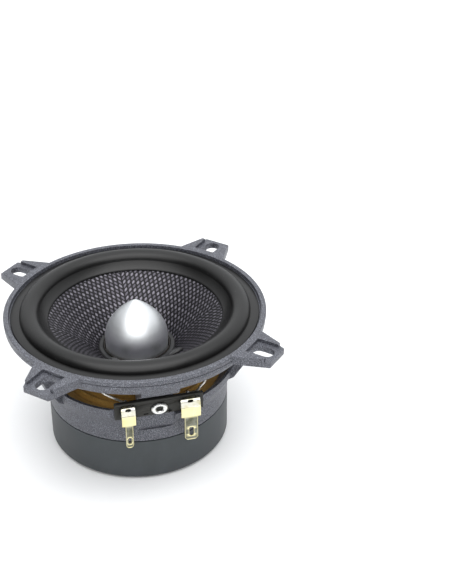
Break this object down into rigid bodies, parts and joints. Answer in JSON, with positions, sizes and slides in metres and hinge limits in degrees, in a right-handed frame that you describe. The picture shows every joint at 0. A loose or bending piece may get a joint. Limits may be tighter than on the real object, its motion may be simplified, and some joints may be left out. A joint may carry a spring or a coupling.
{
  "type": "car speaker driver",
  "caption": "Car door speaker with a woven cone, a fixed metal phase plug, a cast basket with slotted ears and rear spade terminals.",
  "frame": {"origin": "on the speaker's axis at the rear face of the magnet boot, which is the bottom of the bounding box", "axes": "+Z along the axis out of the cone; the slotted ears lie on +X, +Y, -X and -Y; the terminals face halfway between +X and -Y"},
  "size_m": [0.1272, 0.1272, 0.0603],
  "materials": {
    "paint": "fine-grained satin grey paint on a casting",
    "zinc": "bright zinc plating",
    "weave": "dark woven fibre set in resin",
    "glue": "cured black adhesive",
    "ferrite": "dark ground ceramic",
    "rubber": "smooth matt rubber",
    "surround_rubber": "soft matt rubber",
    "tinned": "tin-plated, lightly yellowed",
    "solder": "bright solder",
    "aluminium": "satin turned",
    "cloth": "amber resin-treated cloth",
    "steel": "zinc-plated steel",
    "fibre": "matt black fibre board",
    "braid": "silvered braid",
    "film": "brown former film",
    "copper": "varnished copper wire"
  },
  "bodies": {
    "fixed_frame": {"basket": "paint", "basket_screw_1": "zinc", "basket_screw_2": "zinc", "basket_screw_3": "zinc", "basket_screw_4": "zinc", "magnet": "ferrite", "magnet_boot": "rubber", "negative_terminal": "tinned", "positive_terminal": "tinned", "phase_plug": "aluminium", "phase_plug_screw": "zinc", "solder_joint_negative": "solder", "solder_joint_positive": "solder", "t_yoke": "steel", "terminal_board": "fibre", "terminal_rivet": "zinc", "top_plate": "steel", "surround": "surround_rubber", "spider": "cloth", "tinsel_lead_negative": "braid", "tinsel_lead_positive": "braid"},
    "cone_assembly": {"cone": "weave", "lead_dab_negative": "glue", "lead_dab_positive": "glue", "neck_glue_ring": "glue", "voice_coil_former": "film", "voice_coil_winding": "copper"}
  },
  "joints": [
    {"name": "cone_travel", "type": "slide", "parent": "fixed_frame", "child": "cone_assembly", "axis": [0, 0, 1], "range_m": [-0.004, 0.004], "stiffness_N_per_m": 1700, "deforming": ["surround", "spider", "tinsel_lead_negative", "tinsel_lead_positive"]}
  ]
}
